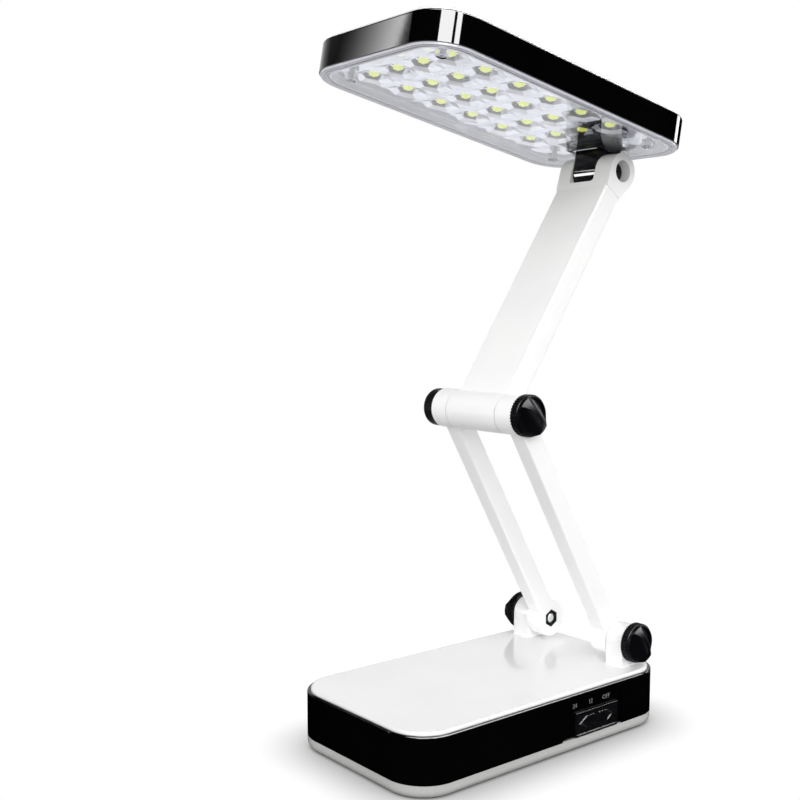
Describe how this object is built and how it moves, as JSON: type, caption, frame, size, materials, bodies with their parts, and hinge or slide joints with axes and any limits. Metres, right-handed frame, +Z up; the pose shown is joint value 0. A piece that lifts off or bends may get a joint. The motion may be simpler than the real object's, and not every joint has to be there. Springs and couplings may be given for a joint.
{
  "type": "folding LED desk lamp",
  "caption": "Fold-flat desk lamp: a flat base box with a slide switch, two straight legs, one wide upper arm and a flat LED head on friction hinges with winged knobs.",
  "frame": {"origin": "middle of the base's flat underside, on the table", "axes": "X across the lamp along every hinge, the switch on the +X side; -Y the front, under the head's free end; +Y the hinge end; +Z up"},
  "size_m": [0.0914, 0.171, 0.3173],
  "materials": {
    "white_shell": "glossy white moulded plastic",
    "black_band": "glossy black moulded plastic",
    "black_knob": "satin black moulded plastic",
    "black_switch": "satin black moulded plastic",
    "knuckle_black": "glossy black moulded plastic",
    "clear_lens": "clear moulded plastic",
    "silver_reflector": "vacuum-metallised plastic",
    "led_yellow": "phosphor of a white LED",
    "board_white": "white solder mask",
    "board_green": "green solder mask",
    "steel": "plated steel",
    "dark_steel": "blackened steel",
    "battery_wrap": "grey-coated aluminium can of the lithium cells",
    "wire_black": "black PVC insulation",
    "wire_red": "red PVC insulation",
    "rubber_pad": "soft black rubber"
  },
  "bodies": {
    "base": {"base_tray": "white_shell", "base_band": "black_band", "base_cover": "white_shell", "base_feet": "rubber_pad", "base_screws": "steel", "battery": "battery_wrap", "battery_leads": "wire_red", "control_board": "board_green", "slide_switch": "steel", "charging_socket": "black_switch", "base_washers": "steel"},
    "switch": {"switch_slider": "black_switch", "switch_lever": "black_switch"},
    "legs": {"leg_left": "white_shell", "leg_right": "white_shell", "leg_lead": "wire_black", "base_nuts": "dark_steel", "middle_nut": "steel", "middle_cap": "black_knob"},
    "left_base_knob": {"base_knob_left": "black_knob", "base_bolt_left": "steel"},
    "right_base_knob": {"base_knob_right": "black_knob", "base_bolt_right": "steel"},
    "middle_clamp": {"middle_knob": "black_knob", "middle_bolt": "steel"},
    "upper_arm": {"upper_arm_body": "white_shell", "upper_arm_cover": "white_shell", "arm_lead": "wire_black", "middle_washers": "steel", "head_hinge_screw": "dark_steel", "head_hinge_nut": "steel", "head_hinge_washers": "steel"},
    "head": {"head_knuckle": "knuckle_black", "knuckle_screws": "steel", "head_cover": "white_shell", "head_band": "black_band", "lens": "clear_lens", "reflector": "silver_reflector", "led_board": "board_white", "led_chips": "led_yellow", "head_screws": "steel", "head_lead": "wire_black"}
  },
  "joints": [
    {"name": "base_hinge", "type": "hinge", "parent": "base", "child": "legs", "pos_m": [0, 0.0644, 0.0397], "axis": [1, 0, 0], "range_deg": [-45, 59.7]},
    {"name": "middle_hinge", "type": "hinge", "parent": "legs", "child": "upper_arm", "pos_m": [0, -0.00174, 0.15289], "axis": [-1, 0, 0], "range_deg": [-64, 106]},
    {"name": "head_hinge", "type": "hinge", "parent": "upper_arm", "child": "head", "pos_m": [0, 0.07334, 0.26569], "axis": [1, 0, 0], "range_deg": [-113, 66.5]},
    {"name": "light_switch", "type": "slide", "parent": "base", "child": "switch", "axis": [0, -1, 0], "range_m": [0, 0.0084]},
    {"name": "left_knob_turn", "type": "hinge", "parent": "legs", "child": "left_base_knob", "pos_m": [-0.04, 0.0644, 0.0397], "axis": [-1, 0, 0], "range_deg": [0, 360]},
    {"name": "right_knob_turn", "type": "hinge", "parent": "legs", "child": "right_base_knob", "pos_m": [0.04, 0.0644, 0.0397], "axis": [1, 0, 0], "range_deg": [0, 360]},
    {"name": "middle_knob_turn", "type": "hinge", "parent": "legs", "child": "middle_clamp", "pos_m": [0.03, -0.00174, 0.15289], "axis": [1, 0, 0], "range_deg": [0, 360]}
  ]
}
